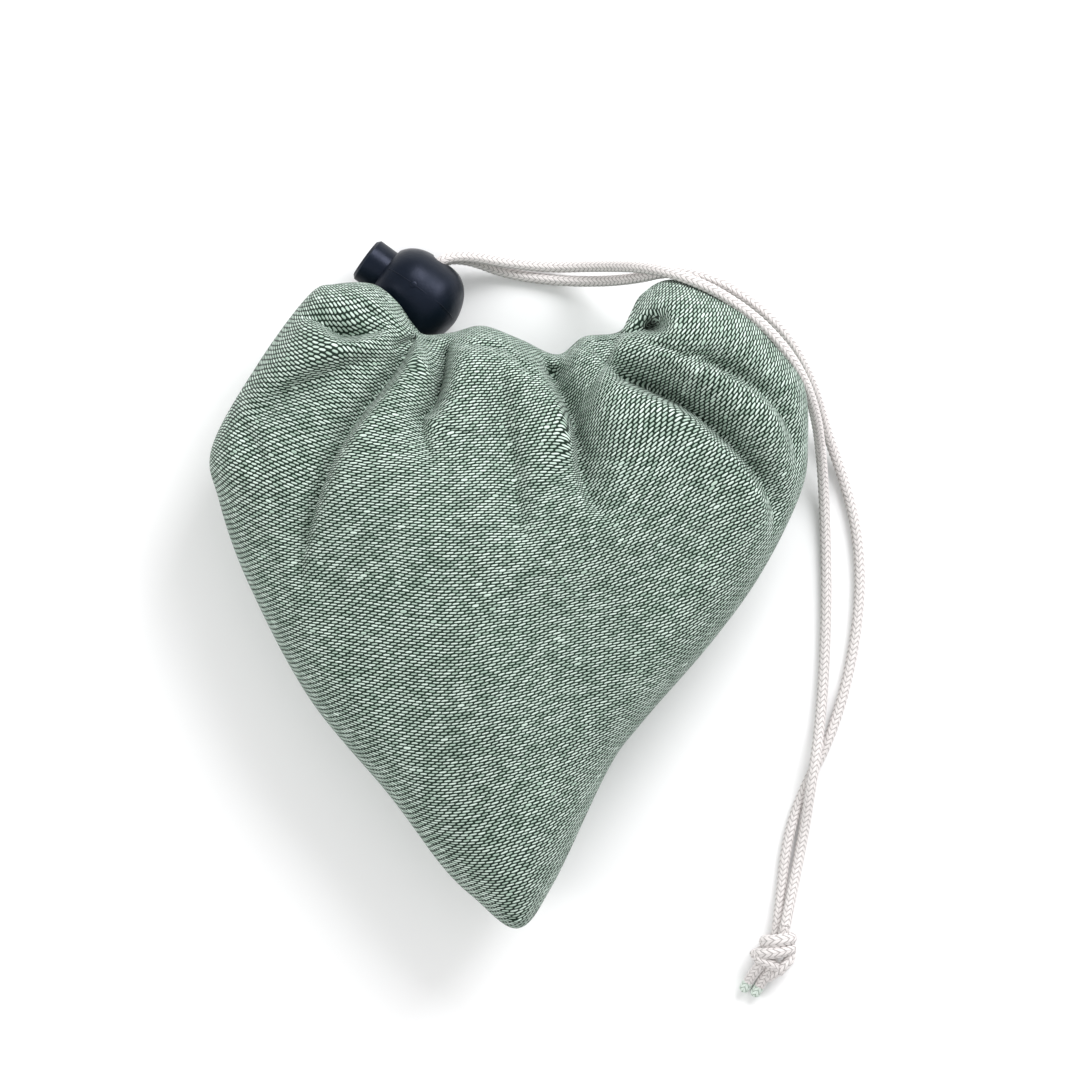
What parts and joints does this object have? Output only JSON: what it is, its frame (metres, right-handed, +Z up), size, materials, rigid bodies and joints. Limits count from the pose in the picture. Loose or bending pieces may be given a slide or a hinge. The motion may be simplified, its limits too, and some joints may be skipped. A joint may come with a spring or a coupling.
{
  "type": "herbal compress pouch",
  "caption": "Heart-shaped woven herbal compress pouch, filled and drawn shut by a doubled cotton drawstring with a spring cord lock and a knotted end.",
  "frame": {"origin": "on the flat face that the pouch rests on, below its middle", "axes": "+Z up from the table through the pouch's front; +Y from the pointed tip towards the drawn mouth; +X towards the side that the free cord lies on"},
  "size_m": [0.1505, 0.1753, 0.046],
  "materials": {
    "pouch_cloth": "matte two-tone basket weave, pale mint weft over dark green warp",
    "sachet_muslin": "unbleached open-weave muslin",
    "dried_herbs": "loose dried herb, matte",
    "drawstring_cotton": "matte braided cotton",
    "lock_plastic": "satin moulded plastic",
    "spring_steel": "bare drawn wire"
  },
  "bodies": {
    "pouch": {"front_panel": "pouch_cloth", "back_panel": "pouch_cloth", "front_casing": "pouch_cloth", "back_casing": "pouch_cloth", "sachet_front": "sachet_muslin", "sachet_back": "sachet_muslin", "herb_filling": "dried_herbs", "drawstring_loop": "drawstring_cotton", "cord_strand_a": "drawstring_cotton", "cord_strand_b": "drawstring_cotton", "cord_knot": "drawstring_cotton", "cord_tail_a": "drawstring_cotton", "cord_tail_b": "drawstring_cotton"},
    "cord_lock": {"lock_barrel": "lock_plastic", "lock_spring": "spring_steel"},
    "lock_button": {"lock_button": "lock_plastic"}
  },
  "joints": [
    {"name": "lock_slide", "type": "slide", "parent": "pouch", "child": "cord_lock", "axis": [0.5906, 0.807, 0], "range_m": [0, 0.012], "deforming": ["drawstring_loop", "cord_strand_a", "cord_strand_b"]},
    {"name": "button_press", "type": "slide", "parent": "cord_lock", "child": "lock_button", "axis": [0.807, -0.5906, 0], "range_m": [0, 0.0034], "stiffness_N_per_m": 900, "springref_m": -0.003, "deforming": ["lock_spring"]}
  ]
}
